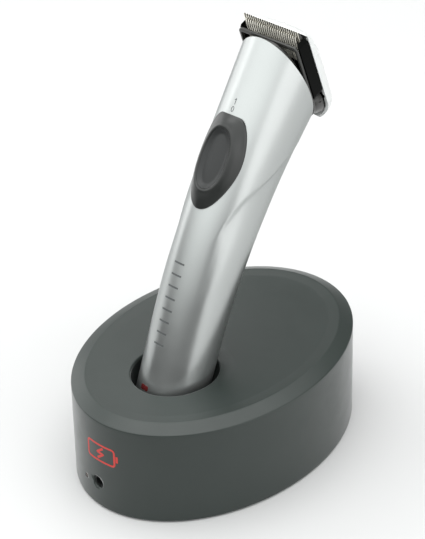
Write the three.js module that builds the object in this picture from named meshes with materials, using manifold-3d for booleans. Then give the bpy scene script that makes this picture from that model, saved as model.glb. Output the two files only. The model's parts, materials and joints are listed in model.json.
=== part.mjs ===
// A cordless hair trimmer standing in its oval charging stand.
//
// Millimetres, +Z up. The origin is the middle of the stand's footprint, on the
// surface that the rubber feet stand on. The front, with the charging jack and
// the trimmer's switch, faces -Y. X is across the object, and every piece on the
// centre line is mirror symmetric about x = 0.

import * as THREE from 'three';
import { mergeVertices } from 'three/addons/utils/BufferGeometryUtils.js';
import Module from 'manifold-3d';

const wasm = await Module();
wasm.setup();

// ---------------------------------------------------------------- dimensions

const GAP = 0.3;                       // air left between neighbouring pieces
const SOCKET_LEAN = 22.5;              // degrees, lean of the socket and the handle in it

// Charging stand.
const STAND_LENGTH = 144;
const STAND_WIDTH = 103.6;
const HALF_LENGTH = STAND_LENGTH / 2;
const HALF_WIDTH = STAND_WIDTH / 2;
const WALL_BOTTOM_Z = 0.7;             // the wall stops just above the table
const RIM_Z = 45.8;                    // top of the upright wall
const CHAMFER_WIDTH = 6.2;
const CREST_Z = 48.4;                  // highest ring of the stand
const DECK_Z = 47.8;                   // the deck inside the crest
const STAND_WALL = 2.5;
const OFFSET_RADIUS = 48;              // outside this radius the ellipse keeps its wall width

// Socket mouth in the deck, and the well below it.
const MOUTH_Y = -25.3;
const MOUTH_HALF_X = 18.1;
const MOUTH_HALF_Y = 20.4;
const WELL_CLEARANCE = 1.1;
const WELL_WALL = 1.6;
const WELL_FLOOR = 2.2;
const WELL_TOP_Z = DECK_Z - STAND_WALL - GAP;

// Trimmer handle: a spine in the plane x = 0, with elliptical sections across it.
const SPINE_START = { y: -35.5, z: 19.4 };
const SPINE_BEND = 17;                 // degrees that the handle leans back further
const BEND_FROM = 27;                  // stretch of the spine where it bends
const BEND_TO = 157;
const LOW_HALF_WIDTH = 15.4;            // half width and half depth at the spine's start
const LOW_HALF_DEPTH = 15.6;
const WIDTH_GAIN = 3.4;                // how much both grow over the gain length
const DEPTH_GAIN = 8.2;
const GAIN_LENGTH = 180;
const WIDTH_GAIN_POWER = 2.2;
const DEPTH_GAIN_POWER = 2;
const SLEEVE_START = 6;                // the silver sleeve starts above the end cap
const SLEEVE_WALL = 1.6;
const LOFT_END = 200;                  // forms run past the slanting end cut to here
const END_ROUND = 3.5;
const CORE_OFFSET = -SLEEVE_WALL - 0.5; // form of the parts that stand inside the sleeve

// Head: a slab that leans forward over the cut end of the handle. Its own frame
// has x across, y out of the back of the head and z along the teeth.
const HEAD_ORIGIN = { y: 54, z: 135.3 };
const HEAD_LEAN = 20;
const CUT_LEAN = 22.6;
const HEAD_HALF_WIDTH = 16;
const LIP_TOP = 48.9;
const LIP_BOTTOM = 4;
const LIP_LOW_CORNER = 12;             // its lower corners follow the sleeve's rim
const LIP_DEPTH = [0.2, 1.3];          // front and back face of the lip round the head
const CARRIER_BOTTOM = 17;
const CARRIER_TOP = 49.6;
const CARRIER_DEPTH = [1.6, 7.6];
const BAY_HALF = 15.1;                 // the bay that the blades lie in
const BAY_DEPTH = 6.7;
const TONGUE_FROM = 0.6;
const TONGUE_TO = CARRIER_BOTTOM + 4;
const TONGUE_HALF = 14.4;
const COVER_BASE = 7.9;
const COVER_BOTTOM = -2.8;
const COVER_TOP = 49;
const TOOTH_PITCH = 1.2;
const COMB_TEETH = 25;
const CUTTER_TEETH = 23;

// Drive.
const MOTOR_AT = 132;                  // place of the motor's middle along the spine
const MOTOR_BACK = 4;                  // distance of its shaft behind the spine
const CRANK_THROW = 0.9;
const CRANK_PIN_RADIUS = 0.9;

// ------------------------------------------------------------------ solids

function solidOf(geometry) {
  const bare = geometry.index ? geometry.clone() : geometry;
  bare.deleteAttribute('normal');
  bare.deleteAttribute('uv');
  const merged = mergeVertices(bare, 1e-4);
  const mesh = new wasm.Mesh({
    numProp: 3,
    vertProperties: Float32Array.from(merged.attributes.position.array),
    triVerts: Uint32Array.from(merged.index.array),
  });
  return new wasm.Manifold(mesh);
}

function geometryOf(solid) {
  const mesh = solid.getMesh();
  const geometry = new THREE.BufferGeometry();
  geometry.setAttribute('position', new THREE.BufferAttribute(mesh.vertProperties, 3));
  geometry.setIndex(new THREE.BufferAttribute(mesh.triVerts, 1));
  return geometry;
}

function box(sx, sy, sz, x = 0, y = 0, z = 0) {
  return solidOf(new THREE.BoxGeometry(sx, sy, sz).translate(x, y, z));
}

// A box given by its limits: [x from, x to], [y from, y to], [z from, z to].
function block([x0, x1], [y0, y1], [z0, z1]) {
  return box(x1 - x0, y1 - y0, z1 - z0, (x0 + x1) / 2, (y0 + y1) / 2, (z0 + z1) / 2);
}

// Upright rod on +Z from z0 to z1.
function rod(radius, z0, z1, x = 0, y = 0, sides = 20) {
  const geometry = new THREE.CylinderGeometry(radius, radius, z1 - z0, sides);
  return solidOf(geometry.rotateX(Math.PI / 2).translate(x, y, (z0 + z1) / 2));
}

// A rod along +Y from y0 to y1.
function rodY(radius, y0, y1, x, z, sides = 16) {
  const geometry = new THREE.CylinderGeometry(radius, radius, y1 - y0, sides);
  return solidOf(geometry.translate(x, (y0 + y1) / 2, z));
}

// Prism with an elliptical plan, upright on +Z.
function ellipticalRod(halfX, halfY, z0, z1, y = 0, sides = 40, topScale = 1) {
  const geometry = new THREE.CylinderGeometry(topScale, 1, z1 - z0, sides).rotateX(Math.PI / 2);
  return solidOf(geometry.scale(halfX, halfY, 1).translate(0, y, (z0 + z1) / 2));
}

// Plate with rounded corners in the x-z plane, from y0 to y1.
function roundedPlate(halfX, [z0, z1], [y0, y1], corner) {
  const outline = new THREE.Shape();
  outline.moveTo(-halfX + corner, z0);
  outline.lineTo(halfX - corner, z0);
  outline.absarc(halfX - corner, z0 + corner, corner, -Math.PI / 2, 0);
  outline.lineTo(halfX, z1 - corner);
  outline.absarc(halfX - corner, z1 - corner, corner, 0, Math.PI / 2);
  outline.lineTo(-halfX + corner, z1);
  outline.absarc(-halfX + corner, z1 - corner, corner, Math.PI / 2, Math.PI);
  outline.lineTo(-halfX, z0 + corner);
  outline.absarc(-halfX + corner, z0 + corner, corner, Math.PI, 1.5 * Math.PI);
  const geometry = new THREE.ExtrudeGeometry(outline, {
    depth: y1 - y0, bevelEnabled: false, curveSegments: 5,
  });
  return solidOf(geometry.rotateX(Math.PI / 2).translate(0, y1, 0));
}

// A ring-shaped profile turned into the stand's ellipse. Each profile point is
// [half length at that point, height]; near the wall the ellipse is an offset of
// the outer one, so that walls and chamfers keep one width all round.
function ellipticalTurning(profile, segments = 60) {
  const points = profile.map(([radius, height]) => new THREE.Vector2(radius, height));
  const geometry = new THREE.LatheGeometry(points, segments).rotateX(Math.PI / 2);
  const position = geometry.attributes.position;
  const narrow = HALF_LENGTH - HALF_WIDTH;
  for (let i = 0; i < position.count; i += 1) {
    const x = position.getX(i);
    const radius = Math.hypot(x, position.getY(i));
    const edge = Math.max(radius, OFFSET_RADIUS);
    position.setX(i, x * (edge - narrow) / edge);
  }
  return solidOf(geometry);
}

// Makes the named mesh of one piece and puts it in its group.
function piece(parent, name, solid, finish) {
  const material = new THREE.MeshStandardMaterial(finish);
  const mesh = new THREE.Mesh(geometryOf(solid), material);
  mesh.name = name;
  parent.add(mesh);
}

// ---------------------------------------------------------------- finishes

const slatePlastic = { color: 0x4a5150, roughness: 0.5, metalness: 0 };
const coverPlastic = { color: 0x2c3030, roughness: 0.6, metalness: 0 };
const rubber = { color: 0x1c1d1d, roughness: 0.9, metalness: 0 };
const blackPlastic = { color: 0x161717, roughness: 0.35, metalness: 0 };
const glossBlack = { color: 0x0c0c0d, roughness: 0.12, metalness: 0 };
const neckPlastic = { color: 0x5a5a57, roughness: 0.45, metalness: 0 };
const switchPlastic = { color: 0x4c4f4e, roughness: 0.4, metalness: 0 };
const padRubber = { color: 0x333535, roughness: 0.55, metalness: 0 };
const silverPaint = { color: 0xc9cccb, roughness: 0.32, metalness: 0.6 };
const whitePlastic = { color: 0xe9ebea, roughness: 0.3, metalness: 0 };
const bladeSteel = { color: 0xc8c4ba, roughness: 0.28, metalness: 1 };
const screwSteel = { color: 0xa8a8a6, roughness: 0.35, metalness: 1 };
const ballastSteel = { color: 0x6d7072, roughness: 0.5, metalness: 1 };
const brass = { color: 0xc9a456, roughness: 0.3, metalness: 1 };
const nickel = { color: 0xb9b7b0, roughness: 0.3, metalness: 1 };
const boardGreen = { color: 0x1f5a3a, roughness: 0.5, metalness: 0 };
const cellWrap = { color: 0x2f6b4f, roughness: 0.4, metalness: 0 };
const chassisPlastic = { color: 0x3a3c3d, roughness: 0.55, metalness: 0 };
const redLens = { color: 0xb5171c, roughness: 0.2, metalness: 0 };
const amberLens = { color: 0xc8552a, roughness: 0.2, metalness: 0 };

const group = new THREE.Group();
const stand = new THREE.Group();
group.add(stand);

// ------------------------------------------------------------ handle's spine

function smooth(from, to, value) {
  const part = THREE.MathUtils.clamp((value - from) / (to - from), 0, 1);
  return part * part * (3 - 2 * part);
}

const leanAt = (s) => {
  const bend = SPINE_BEND * smooth(BEND_FROM, BEND_TO, s);
  return THREE.MathUtils.degToRad(SOCKET_LEAN + bend);
};
const gainAt = (s, power) => (Math.max(s, 0) / GAIN_LENGTH) ** power;
const halfWidthAt = (s) => LOW_HALF_WIDTH + WIDTH_GAIN * gainAt(s, WIDTH_GAIN_POWER);
const halfDepthAt = (s) => LOW_HALF_DEPTH + DEPTH_GAIN * gainAt(s, DEPTH_GAIN_POWER);

// Point of the spine at distance s from its start, found by adding short steps.
function spineAt(s) {
  const steps = Math.ceil(Math.abs(s)) + 1;
  const step = s / steps;
  let y = SPINE_START.y;
  let z = SPINE_START.z;
  for (let i = 0; i < steps; i += 1) {
    const lean = leanAt((i + 0.5) * step);
    y += Math.sin(lean) * step;
    z += Math.cos(lean) * step;
  }
  return { y, z, lean: leanAt(s) };
}

// Frame with its z axis along the spine and its -y axis out of the front.
function spineFrame(s) {
  const at = spineAt(s);
  const frame = new THREE.Group();
  frame.position.set(0, at.y, at.z);
  frame.rotation.x = -at.lean;
  return frame;
}

function matrixOf(frame) {
  frame.updateMatrixWorld(true);
  return frame.matrixWorld.clone();
}

// The handle's form from s0 to s1, grown outwards by offset. endRound rounds the
// lower end off over that radius.
function handleForm(offset, s0, s1, steps = 20, sides = 40, endRound = 0) {
  const profile = [new THREE.Vector2(0, s0)];
  if (endRound > 0) {
    for (let i = 0; i <= 4; i += 1) {
      const angle = (i / 4) * Math.PI / 2;
      const inset = endRound * (1 - Math.sin(angle));
      const share = 1 - inset / LOW_HALF_WIDTH;
      profile.push(new THREE.Vector2(share, s0 + endRound * (1 - Math.cos(angle))));
    }
  } else {
    profile.push(new THREE.Vector2(1, s0));
  }
  for (let i = 1; i <= steps; i += 1) {
    profile.push(new THREE.Vector2(1, s0 + endRound + (s1 - s0 - endRound) * i / steps));
  }
  profile.push(new THREE.Vector2(0, s1));
  const geometry = new THREE.LatheGeometry(profile, sides);
  const position = geometry.attributes.position;
  for (let i = 0; i < position.count; i += 1) {
    const s = position.getY(i);
    const at = spineAt(s);
    const across = position.getX(i) * (halfWidthAt(s) + offset);
    const front = position.getZ(i) * (halfDepthAt(s) + offset);
    position.setXYZ(i, across, at.y - Math.cos(at.lean) * front, at.z + Math.sin(at.lean) * front);
  }
  const solid = solidOf(geometry);
  return solid.volume() < 0 ? solidOf(flipped(geometry)) : solid;
}

function flipped(geometry) {
  const index = geometry.index.array;
  for (let i = 0; i < index.length; i += 3) {
    [index[i + 1], index[i + 2]] = [index[i + 2], index[i + 1]];
  }
  return geometry;
}

// Moves a solid from a frame's coordinates to the object's, or back.
function moved(solid, matrix) {
  return solidOf(geometryOf(solid).applyMatrix4(matrix));
}

// ---------------------------------------------------------- charging stand

const socketFrame = spineFrame(0);
const socketMatrix = matrixOf(socketFrame);

const boreHalfX = halfWidthAt(30) + WELL_CLEARANCE;
const boreHalfY = halfDepthAt(30) + WELL_CLEARANCE;
const screwPlaces = [[-29, -38], [29, -38], [-29, 40], [29, 40]];
const footPlaces = [[-20, -52], [20, -52], [-20, 52], [20, 52]];
const cornerNames = ['front_left', 'front_right', 'back_left', 'back_right'];
const COVER_Z0 = 1.2;
const COVER_Z1 = 3.4;
const CONTACT_X = 5;                   // the charging contacts stand this far off centre
const BOSS_RADIUS = 3.6;
const SCREW_RADIUS = 1.4;
const JACK = { x: -3.7, z: 12.9, radius: 2.85 };
const LIGHT = { x: -11.9, z: 11.5, radius: 1.0 };

// y of the stand's outer face at a given x.
const faceY = (x) => -HALF_LENGTH * Math.sqrt(1 - (x / HALF_WIDTH) ** 2);

function mouthCut() {
  const funnelDepth = 7;
  const funnel = ellipticalRod(MOUTH_HALF_X - 1, MOUTH_HALF_Y - 2.4, DECK_Z - funnelDepth,
    DECK_Z + 3, MOUTH_Y, 40, 1.12);
  const bore = moved(ellipticalRod(boreHalfX, boreHalfY, 20, 60), socketMatrix);
  return funnel.add(bore);
}

function makeHousing() {
  const inside = HALF_LENGTH - STAND_WALL;
  const shell = ellipticalTurning([
    [0, DECK_Z], [56, DECK_Z], [62, DECK_Z + 0.2], [HALF_LENGTH - CHAMFER_WIDTH, CREST_Z],
    [HALF_LENGTH, RIM_Z], [HALF_LENGTH, WALL_BOTTOM_Z], [inside, WALL_BOTTOM_Z],
    [inside, RIM_Z - STAND_WALL], [HALF_LENGTH - CHAMFER_WIDTH, DECK_Z - STAND_WALL],
    [0, DECK_Z - STAND_WALL],
  ].reverse());
  let housing = shell;
  for (const [x, y] of screwPlaces) {
    housing = housing.add(rod(BOSS_RADIUS, COVER_Z1 + GAP, DECK_Z - 1, x, y));
    housing = housing.subtract(rod(SCREW_RADIUS + GAP, COVER_Z1, 14, x, y, 12));
  }
  const jackHole = rodY(JACK.radius + GAP, faceY(JACK.x) - 2, -62, JACK.x, JACK.z, 24);
  const lightHole = rodY(LIGHT.radius + GAP, faceY(LIGHT.x) - 2, -62, LIGHT.x, LIGHT.z, 12);
  return housing.subtract(mouthCut()).subtract(jackHole).subtract(lightHole);
}

function makeBottomCover() {
  const edge = HALF_LENGTH - STAND_WALL - GAP;
  let cover = ellipticalTurning([[0, COVER_Z0], [edge, COVER_Z0], [edge, COVER_Z1], [0, COVER_Z1]]);
  for (const [x, y] of screwPlaces) {
    cover = cover.subtract(rod(SCREW_RADIUS + GAP, 0, 5, x, y, 12));
    cover = cover.subtract(rod(3.1, 0, COVER_Z0 + 1, x, y, 16));
  }
  for (const [x, y] of footPlaces) {
    cover = cover.subtract(rod(6.3, 0, COVER_Z0 + 0.9, x, y, 18));
  }
  return cover;
}

// Cup around the lower end of the handle, built on the socket's own axis.
function makeWell() {
  const low = -GAP - WELL_FLOOR;
  let cup = ellipticalRod(boreHalfX + WELL_WALL, boreHalfY + WELL_WALL, low, 42);
  cup = cup.subtract(ellipticalRod(boreHalfX, boreHalfY, -GAP, 60));
  for (const side of [-1, 1]) {
    cup = cup.subtract(rod(1.3, low - 1, 1, side * CONTACT_X, 0, 16));
  }
  let well = moved(cup, socketMatrix);
  const flange = ellipticalRod(24, 27.5, WELL_TOP_Z - 2, WELL_TOP_Z, MOUTH_Y + 1.5);
  const bore = moved(ellipticalRod(boreHalfX, boreHalfY, -GAP, 60), socketMatrix);
  well = well.add(flange).subtract(bore);
  return well.subtract(block([-60, 60], [-80, 80], [WELL_TOP_Z, 80]));
}

piece(stand, 'stand_housing', makeHousing(), slatePlastic);
piece(stand, 'stand_bottom_cover', makeBottomCover(), coverPlastic);
piece(stand, 'socket_well', makeWell(), slatePlastic);

footPlaces.forEach(([x, y], i) => {
  piece(stand, `rubber_foot_${cornerNames[i]}`, rod(6, 0, COVER_Z0 + 0.6, x, y, 18), rubber);
});

screwPlaces.forEach(([x, y], i) => {
  const screw = rod(2.8, COVER_Z0 - 0.3, COVER_Z0 + 0.7, x, y, 16)
    .add(rod(SCREW_RADIUS, COVER_Z0, 13, x, y, 12));
  piece(stand, `cover_screw_${cornerNames[i]}`, screw, screwSteel);
});

// Sprung charging contacts under the socket's floor, on the socket's axis.
const contactFrame = spineFrame(0);
stand.add(contactFrame);
const HOLDER_TOP = -GAP - WELL_FLOOR - GAP;
const holder = block([-9, 9], [-4.5, 4.5], [HOLDER_TOP - 6, HOLDER_TOP])
  .subtract(rod(1.9, HOLDER_TOP - 5, 2, -CONTACT_X, 0, 16))
  .subtract(rod(1.9, HOLDER_TOP - 5, 2, CONTACT_X, 0, 16));
piece(contactFrame, 'contact_holder', holder, blackPlastic);
for (const [side, x] of [['left', -CONTACT_X], ['right', CONTACT_X]]) {
  const barrel = rod(1.6, HOLDER_TOP - 4.7, HOLDER_TOP - 0.2, x, 0, 16)
    .subtract(rod(1.05, HOLDER_TOP - 4.2, 2, x, 0, 16));
  piece(contactFrame, `contact_barrel_${side}`, barrel, brass);
  const pin = rod(0.75, HOLDER_TOP - 2.4, 0.3, x, 0, 16);
  piece(contactFrame, `contact_pin_${side}`, pin, brass);
}

// Charging electronics, jack and indicator behind the front wall.
const boardTop = 9.2;
const board = block([-24, 24], [8, 50], [boardTop - 1.6, boardTop])
  .add(rod(5, boardTop - 0.5, boardTop + 12, -14, 20, 20))
  .add(rod(4, boardTop - 0.5, boardTop + 9, -14, 34, 20))
  .add(block([-2, 16], [14, 30], [boardTop - 0.5, boardTop + 10]))
  .add(block([2, 10], [36, 44], [boardTop - 0.5, boardTop + 4]));
piece(stand, 'charging_board', board, boardGreen);
piece(stand, 'ballast_plate', block([-22, 22], [6, 54], [3.8, 6.8]), ballastSteel);

const jackFrontY = faceY(JACK.x) + 1.2;
const jack = rodY(JACK.radius, jackFrontY, -64.5, JACK.x, JACK.z, 24)
  .add(block([JACK.x - 4.5, JACK.x + 4.5], [-67.9, -57], [JACK.z - 5.5, JACK.z + 4.5]))
  .subtract(rodY(2.1, jackFrontY - 2, -60, JACK.x, JACK.z, 24));
piece(stand, 'dc_jack', jack, blackPlastic);
piece(stand, 'dc_jack_pin', rodY(0.65, jackFrontY + 1, -60.3, JACK.x, JACK.z, 12), nickel);
const light = rodY(LIGHT.radius, faceY(LIGHT.x) + 0.3, -64, LIGHT.x, LIGHT.z, 12)
  .add(rodY(1.8, -66.3, -62, LIGHT.x, LIGHT.z, 16));
piece(stand, 'status_light', light, amberLens);

// -------------------------------------------------------------- trimmer body

const trimmer = new THREE.Group();
group.add(trimmer);
const head = new THREE.Group();
head.position.set(0, HEAD_ORIGIN.y, HEAD_ORIGIN.z);
head.rotation.x = THREE.MathUtils.degToRad(HEAD_LEAN);
trimmer.add(head);
const headMatrix = matrixOf(head);
const toHead = headMatrix.clone().invert();

// Everything behind the handle's slanting end cut, in the object's coordinates.
function behindCut(setback = 0) {
  const frame = new THREE.Group();
  frame.position.set(0, HEAD_ORIGIN.y, HEAD_ORIGIN.z);
  frame.rotation.x = THREE.MathUtils.degToRad(CUT_LEAN);
  return moved(block([-40, 40], [setback, 60], [-45, 90]), matrixOf(frame));
}

// Frame on the front face of the handle, under the switch.
const SWITCH_AT = 121;
const SWITCH_SLOPE = 32.5;
const switchFrame = new THREE.Group();
const switchSpot = spineAt(SWITCH_AT);
switchFrame.position.set(
  0,
  switchSpot.y - Math.cos(switchSpot.lean) * halfDepthAt(SWITCH_AT),
  switchSpot.z + Math.sin(switchSpot.lean) * halfDepthAt(SWITCH_AT),
);
switchFrame.rotation.x = -THREE.MathUtils.degToRad(SWITCH_SLOPE);
const switchMatrix = matrixOf(switchFrame);

const INDICATOR_AT = 22.5;
const indicatorFrame = spineFrame(INDICATOR_AT);
const indicatorMatrix = matrixOf(indicatorFrame);

function makeSleeve() {
  const outer = handleForm(0, SLEEVE_START, LOFT_END, 17, 36);
  const inner = handleForm(-SLEEVE_WALL, SLEEVE_START - 2, LOFT_END + 2, 11, 24);
  const slot = moved(block([-3.5, 3.5], [-6, 8], [-8, 9]), switchMatrix);
  const lampHole = moved(rodY(1.6 + GAP, -20, -8, 0, 0), indicatorMatrix);
  return outer.subtract(inner).subtract(behindCut()).subtract(slot).subtract(lampHole);
}

function makeEndCap() {
  const capTop = SLEEVE_START - GAP;
  const cap = handleForm(0, 0, capTop, 2, 36, END_ROUND)
    .add(handleForm(CORE_OFFSET, 2, SLEEVE_START + 4, 1, 24))
    .subtract(handleForm(-SLEEVE_WALL - 1.8, 2.4, SLEEVE_START + 6, 1, 20));
  const pockets = rod(2.5, -1, 3.2, -CONTACT_X, 0, 20).add(rod(2.5, -1, 3.2, CONTACT_X, 0, 20));
  return cap.subtract(moved(pockets, socketMatrix));
}

piece(trimmer, 'outer_sleeve', makeSleeve(), silverPaint);
piece(trimmer, 'end_cap', makeEndCap(), blackPlastic);

const endFrame = spineFrame(0);
trimmer.add(endFrame);
for (const [side, x] of [['left', -CONTACT_X], ['right', CONTACT_X]]) {
  piece(endFrame, `end_contact_${side}`, rod(2.2, 0.7, 2.9, x, 0, 20), nickel);
}

const indicator = rodY(1.6, -halfDepthAt(INDICATOR_AT) - 0.1, -12.4, 0, 0)
  .add(rodY(2.3, -13.6, -12.4, 0, 0));
const indicatorHolder = spineFrame(INDICATOR_AT);
trimmer.add(indicatorHolder);
piece(indicatorHolder, 'indicator_light', indicator, redLens);

// Rear half-shell that carries the cell, the board and the motor.
const CHASSIS_FROM = 12;
const CHASSIS_TO = 124;

function makeChassis() {
  const shell = handleForm(CORE_OFFSET, CHASSIS_FROM, CHASSIS_TO, 9, 24)
    .subtract(handleForm(-SLEEVE_WALL - 2, CHASSIS_FROM - 2, CHASSIS_TO + 2, 9, 20));
  const front = moved(block([-40, 40], [-50, -1.5], [-80, 90]), matrixOf(spineFrame(60)));
  const frontLow = moved(block([-40, 40], [-50, -1.5], [-80, 20]), matrixOf(spineFrame(36)));
  const frontHigh = moved(block([-40, 40], [-50, -1.5], [-20, 60]), matrixOf(spineFrame(104)));
  return shell.subtract(front).subtract(frontLow).subtract(frontHigh);
}

piece(trimmer, 'chassis', makeChassis(), chassisPlastic);

// Rechargeable cell, AA size, with a welded tab at each end.
const cellFrame = spineFrame(40);
trimmer.add(cellFrame);
const CELL_BACK = 2.5;
const CELL_HALF = 25;
piece(cellFrame, 'battery_cell', rod(7.2, -CELL_HALF, CELL_HALF, 0, CELL_BACK, 28), cellWrap);
for (const [end, z] of [['bottom', -CELL_HALF - 0.8], ['top', CELL_HALF + 0.3]]) {
  const tab = block([-2, 2], [CELL_BACK - 9.5, CELL_BACK + 3], [z, z + 0.5]);
  piece(cellFrame, `battery_tab_${end}`, tab, nickel);
}

// Control board behind the switch, with the electric slide switch on it.
const boardFrame = spineFrame(SWITCH_AT);
trimmer.add(boardFrame);
const controlBoard = block([-8, 8], [-10.2, -9], [-33, 13])
  .add(block([-5, 5], [-9.2, -6.5], [-30, -22]))
  .add(rodY(2.5, -9.2, -4.5, 0, -16, 16));
piece(boardFrame, 'control_board', controlBoard, boardGreen);
piece(boardFrame, 'slide_switch', block([-4, 4], [-13.2, -10.5], [-8, 8]), nickel);

// Motor, its bracket, and the crank that it turns.
const motorFrame = spineFrame(MOTOR_AT);
trimmer.add(motorFrame);
const motorRound = rod(10, -13, 11, 0, MOTOR_BACK, 32);
const motorFlats = block([-12, 12], [MOTOR_BACK - 7.6, MOTOR_BACK + 7.6], [-20, 20]);
const motor = motorRound.intersect(motorFlats)
  .add(rod(3, 10.5, 12.6, 0, MOTOR_BACK, 20))
  .subtract(rod(1 + GAP, 4, 20, 0, MOTOR_BACK, 16));
piece(motorFrame, 'motor', motor, nickel);
const bracket = block([-12, 12], [MOTOR_BACK - 9.5, MOTOR_BACK + 8.2], [11.3, 12.8])
  .subtract(rod(3.3, 10, 14, 0, MOTOR_BACK, 20));
piece(motorFrame, 'motor_bracket', bracket, chassisPlastic);
for (const [side, x] of [['left', -7.5], ['right', 7.5]]) {
  const screw = rod(1.7, 13.1, 14.2, x, MOTOR_BACK, 16);
  piece(motorFrame, `motor_screw_${side}`, screw, screwSteel);
}
piece(motorFrame, 'motor_shaft', rod(1, 4.5, 19.2, 0, MOTOR_BACK, 16), screwSteel);
const cam = rod(4, 15.4, 20.8, 0, MOTOR_BACK, 24)
  .subtract(rod(1 + GAP, 14, 19.6, 0, MOTOR_BACK, 16))
  .add(rod(CRANK_PIN_RADIUS, 20.3, 32.4, 0, MOTOR_BACK + CRANK_THROW, 16));
piece(motorFrame, 'eccentric_cam', cam, blackPlastic);

// ------------------------------------------------------------------- switch

// Outline of the slider, flat at the top and round at the bottom, in x and s.
function eggOutline(halfWidth, top, bottom, flatHalf) {
  const middle = bottom + (top - bottom) * 0.56;
  const outline = new THREE.Shape();
  outline.moveTo(-flatHalf, top);
  outline.lineTo(flatHalf, top);
  outline.bezierCurveTo(halfWidth * 0.8, top - 0.8, halfWidth, middle + 7, halfWidth, middle);
  outline.bezierCurveTo(halfWidth, middle - 9, halfWidth * 0.6, bottom, 0, bottom);
  outline.bezierCurveTo(-halfWidth * 0.6, bottom, -halfWidth, middle - 9, -halfWidth, middle);
  outline.bezierCurveTo(-halfWidth, middle + 7, -halfWidth * 0.8, top - 0.8, -flatHalf, top);
  return outline;
}

function ovalOutline(halfWidth, top, bottom) {
  const outline = new THREE.Shape();
  outline.absellipse(0, (top + bottom) / 2, halfWidth, (top - bottom) / 2, 0, 2 * Math.PI);
  return outline;
}

// Prism over an outline, standing across the front face, in the object's frame.
function overFront(outline) {
  const geometry = new THREE.ExtrudeGeometry(outline, {
    depth: 24, bevelEnabled: false, curveSegments: 10,
  });
  return moved(solidOf(geometry.rotateX(Math.PI / 2).translate(0, 14, 0)), switchMatrix);
}

function layer(low, high) {
  return handleForm(high, 92, 148, 9, 44).subtract(handleForm(low, 88, 152, 10, 44));
}

const SLIDER = { halfWidth: 11.2, top: 19.2, bottom: -20.6, flatHalf: 5 };
const PAD = { halfWidth: 6.6, top: 12.8, bottom: -12.6 };

function makeSlider() {
  const egg = overFront(eggOutline(SLIDER.halfWidth, SLIDER.top, SLIDER.bottom, SLIDER.flatHalf));
  const ring = overFront(ovalOutline(PAD.halfWidth + 1.3, PAD.top + 1.4, PAD.bottom - 1.4));
  const pocket = overFront(ovalOutline(PAD.halfWidth + GAP, PAD.top + GAP, PAD.bottom - GAP));
  const stem = moved(block([-2.4, 2.4], [-1.1, 5.2], [-5.5, 3]), switchMatrix);
  return layer(0.45, 1.7).intersect(egg)
    .add(layer(1.2, 2.4).intersect(ring))
    .subtract(layer(1.2, 6).intersect(pocket))
    .add(stem);
}

piece(trimmer, 'switch_slider', makeSlider(), switchPlastic);
const padPrism = overFront(ovalOutline(PAD.halfWidth, PAD.top, PAD.bottom));
const thumbPad = layer(1.5, 1.9).intersect(padPrism);
piece(trimmer, 'thumb_pad', thumbPad, padRubber);

// -------------------------------------------------------------------- head

// Closed dome on the back of the head: half-round sections across it, whose
// width and height change along the head. The section's flat side is at y = base.
function dome(base, [z0, z1], widthAt, heightAt, steps = 12, sides = 12) {
  const half = new THREE.Shape();
  half.absarc(0, 0, 1, 0, Math.PI);
  const geometry = new THREE.ExtrudeGeometry(half, {
    depth: 1, steps, bevelEnabled: false, curveSegments: sides,
  });
  const position = geometry.attributes.position;
  for (let i = 0; i < position.count; i += 1) {
    const z = z0 + (z1 - z0) * position.getZ(i);
    const squareness = 0.82;
    const x = position.getX(i);
    const y = position.getY(i);
    const wide = Math.sign(x) * Math.abs(x) ** squareness;
    const high = Math.max(y, 0) ** squareness;
    position.setXYZ(i, wide * widthAt(z), base + high * heightAt(z), z);
  }
  const solid = solidOf(geometry);
  return solid.volume() < 0 ? solidOf(flipped(geometry)) : solid;
}

// Half width and bulge of the back cover at height z of the head.
function coverHalfWidth(z) {
  const fromBottom = THREE.MathUtils.clamp((z - COVER_BOTTOM) / 13, 0, 1);
  return 8 + (HEAD_HALF_WIDTH - 8) * Math.sin(fromBottom * Math.PI / 2) ** 0.8;
}

function coverBulge(z) {
  const top = THREE.MathUtils.clamp((COVER_TOP + 0.6 - z) / 20, 0, 1);
  const bottom = THREE.MathUtils.clamp((z - COVER_BOTTOM + 1.5) / 9, 0, 1);
  return 9.2 * Math.sqrt(1 - (1 - top) ** 2) * Math.sqrt(1 - (1 - bottom) ** 2);
}

function makeBackCover() {
  const outer = dome(COVER_BASE, [COVER_BOTTOM, COVER_TOP], coverHalfWidth, coverBulge);
  const inner = dome(COVER_BASE - 1, [0.2, COVER_TOP - 3.4],
    (z) => coverHalfWidth(z) - 1.6, (z) => Math.max(coverBulge(z) - 0.4, 0.5), 9, 9);
  const seatHalf = TONGUE_HALF + GAP;
  const seat = block([-seatHalf, seatHalf], [0, 9.2 + GAP], [-10, TONGUE_TO + GAP]);
  return outer.subtract(inner).subtract(seat);
}

// The neck: a core inside the sleeve's end, a lip round the head, and the hinge block.
function makeNeck() {
  const core = moved(handleForm(-SLEEVE_WALL - GAP, 118, LOFT_END, 8, 32), toHead)
    .subtract(moved(handleForm(CORE_OFFSET - SLEEVE_WALL, 116, LOFT_END + 2, 8, 24), toHead))
    .intersect(block([-30, 30], [-7, 0.6], [-6, LIP_TOP - 0.4]));
  const lipHalf = HEAD_HALF_WIDTH - 0.3;
  const lip = roundedPlate(lipHalf, [LIP_BOTTOM, LIP_TOP], LIP_DEPTH, 2.2)
    .intersect(roundedPlate(lipHalf, [LIP_BOTTOM, 2 * LIP_TOP], [0, 2], LIP_LOW_CORNER));
  const opening = roundedPlate(12, [10, 45.5], [-12, 4], 2);
  const hinge = roundedPlate(14.6, [1, CARRIER_BOTTOM - 1], [1.2, 7.5], 6)
    .subtract(moved(block([-20, 20], [0, 20], [-20, 0]), hingeSlope()));
  return core.add(lip).subtract(opening).add(hinge.subtract(opening));
}

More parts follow.
